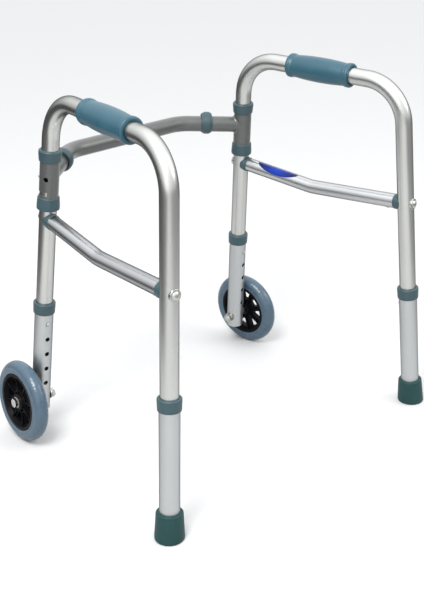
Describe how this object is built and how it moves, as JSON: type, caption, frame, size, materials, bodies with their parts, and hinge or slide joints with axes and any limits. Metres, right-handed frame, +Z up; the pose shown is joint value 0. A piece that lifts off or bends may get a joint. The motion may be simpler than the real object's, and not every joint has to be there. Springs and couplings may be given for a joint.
{
  "type": "walking frame",
  "caption": "Folding walking frame with telescopic legs, front wheels, rubber rear tips, side hand grips, side braces and a bowed front cross bar.",
  "frame": {"origin": "on the floor, under the middle of the frame's bounding box", "axes": "+X to the user's right, +Y forward in the walking direction, +Z up"},
  "size_m": [0.581, 0.445, 0.5547],
  "materials": {
    "frame_paint": "warm grey paint, satin",
    "bare_tube": "anodised, satin",
    "polished_tube": "polished",
    "lower_tube": "matt anodised",
    "collar_plastic": "moulded, blue grey",
    "grip_vinyl": "soft vinyl, blue grey",
    "foot_rubber": "dark green rubber",
    "tyre": "blue grey solid tyre",
    "rim_plastic": "black moulded",
    "zinc": "zinc plated",
    "spring_steel": "spring steel",
    "label": "plain blue film"
  },
  "bodies": {
    "front_frame": {"cross_bar": "frame_paint", "bar_rivets": "zinc", "left_t_sleeve": "frame_paint", "left_sleeve_upper_collar": "collar_plastic", "left_sleeve_lower_collar": "collar_plastic", "left_bar_collar": "collar_plastic", "left_bar_joiner": "bare_tube", "right_t_sleeve": "frame_paint", "right_sleeve_upper_collar": "collar_plastic", "right_sleeve_lower_collar": "collar_plastic", "right_bar_collar": "collar_plastic", "right_bar_joiner": "bare_tube"},
    "left_side_frame": {"left_side_tube": "bare_tube", "left_grip": "grip_vinyl", "left_brace": "polished_tube", "left_brace_front_saddle": "collar_plastic", "left_brace_rear_saddle": "collar_plastic", "left_brace_screws": "zinc", "left_brace_washers": "zinc", "left_fold_stop_pin": "zinc"},
    "left_front_leg": {"left_front_leg": "lower_tube", "left_front_leg_collar": "collar_plastic", "left_wheel_bush": "zinc", "left_axle_bolt": "zinc", "left_axle_nut": "zinc", "left_axle_washers": "zinc"},
    "left_rear_leg": {"left_rear_leg": "lower_tube", "left_rear_leg_collar": "collar_plastic", "left_ferrule": "foot_rubber", "left_ferrule_washer": "zinc"},
    "left_wheel": {"left_tyre": "tyre", "left_wheel_rim": "rim_plastic"},
    "left_fold_button_body": {"left_fold_button": "spring_steel"},
    "left_front_leg_button_body": {"left_front_leg_button": "spring_steel"},
    "left_rear_leg_button_body": {"left_rear_leg_button": "spring_steel"},
    "right_side_frame": {"right_side_tube": "bare_tube", "right_grip": "grip_vinyl", "right_brace": "polished_tube", "right_brace_front_saddle": "collar_plastic", "right_brace_rear_saddle": "collar_plastic", "right_brace_screws": "zinc", "right_brace_washers": "zinc", "right_fold_stop_pin": "zinc", "brace_label": "label"},
    "right_front_leg": {"right_front_leg": "lower_tube", "right_front_leg_collar": "collar_plastic", "right_wheel_bush": "zinc", "right_axle_bolt": "zinc", "right_axle_nut": "zinc", "right_axle_washers": "zinc"},
    "right_rear_leg": {"right_rear_leg": "lower_tube", "right_rear_leg_collar": "collar_plastic", "right_ferrule": "foot_rubber", "right_ferrule_washer": "zinc"},
    "right_wheel": {"right_tyre": "tyre", "right_wheel_rim": "rim_plastic"},
    "right_fold_button_body": {"right_fold_button": "spring_steel"},
    "right_front_leg_button_body": {"right_front_leg_button": "spring_steel"},
    "right_rear_leg_button_body": {"right_rear_leg_button": "spring_steel"}
  },
  "joints": [
    {"name": "left_fold", "type": "hinge", "parent": "front_frame", "child": "left_side_frame", "pos_m": [-0.19723, 0.11503, 0.42267], "axis": [0.0549, -0.112, 0.9922], "range_deg": [0, 90]},
    {"name": "left_front_height", "type": "slide", "parent": "left_side_frame", "child": "left_front_leg", "axis": [0.0549, -0.112, 0.9922], "range_m": [0, 0.1016]},
    {"name": "left_rear_height", "type": "slide", "parent": "left_side_frame", "child": "left_rear_leg", "axis": [0.0755, 0.0382, 0.9964], "range_m": [0, 0.1016]},
    {"name": "left_wheel_roll", "type": "hinge", "parent": "left_front_leg", "child": "left_wheel", "pos_m": [-0.24858, 0.15855, 0.06409], "axis": [-0.9939, 0.0889, 0.065], "continuous": true},
    {"name": "left_fold_button_press", "type": "slide", "parent": "left_side_frame", "child": "left_fold_button_body", "axis": [0.5352, -0.8356, -0.1239], "range_m": [0, 0.003], "stiffness_N_per_m": 900, "springref_m": -0.003, "deforming": ["left_fold_button"]},
    {"name": "left_front_leg_button_press", "type": "slide", "parent": "left_side_frame", "child": "left_front_leg_button_body", "axis": [0.1404, 0.9847, 0.1034], "range_m": [0, 0.003], "stiffness_N_per_m": 900, "springref_m": -0.003, "deforming": ["left_front_leg_button"]},
    {"name": "left_rear_leg_button_press", "type": "slide", "parent": "left_side_frame", "child": "left_rear_leg_button_body", "axis": [-0.1305, -0.9903, 0.0479], "range_m": [0, 0.003], "stiffness_N_per_m": 900, "springref_m": -0.003, "deforming": ["left_rear_leg_button"]},
    {"name": "right_fold", "type": "hinge", "parent": "front_frame", "child": "right_side_frame", "pos_m": [0.19723, 0.11503, 0.42267], "axis": [0.0549, 0.112, -0.9922], "range_deg": [0, 52]},
    {"name": "right_front_height", "type": "slide", "parent": "right_side_frame", "child": "right_front_leg", "axis": [-0.0549, -0.112, 0.9922], "range_m": [0, 0.1016]},
    {"name": "right_rear_height", "type": "slide", "parent": "right_side_frame", "child": "right_rear_leg", "axis": [-0.0755, 0.0382, 0.9964], "range_m": [0, 0.1016]},
    {"name": "right_wheel_roll", "type": "hinge", "parent": "right_front_leg", "child": "right_wheel", "pos_m": [0.24858, 0.15855, 0.06409], "axis": [0.9939, 0.0889, 0.065], "continuous": true},
    {"name": "right_fold_button_press", "type": "slide", "parent": "right_side_frame", "child": "right_fold_button_body", "axis": [-0.5352, -0.8356, -0.1239], "range_m": [0, 0.003], "stiffness_N_per_m": 900, "springref_m": -0.003, "deforming": ["right_fold_button"]},
    {"name": "right_front_leg_button_press", "type": "slide", "parent": "right_side_frame", "child": "right_front_leg_button_body", "axis": [-0.1404, 0.9847, 0.1034], "range_m": [0, 0.003], "stiffness_N_per_m": 900, "springref_m": -0.003, "deforming": ["right_front_leg_button"]},
    {"name": "right_rear_leg_button_press", "type": "slide", "parent": "right_side_frame", "child": "right_rear_leg_button_body", "axis": [0.1305, -0.9903, 0.0479], "range_m": [0, 0.003], "stiffness_N_per_m": 900, "springref_m": -0.003, "deforming": ["right_rear_leg_button"]}
  ]
}
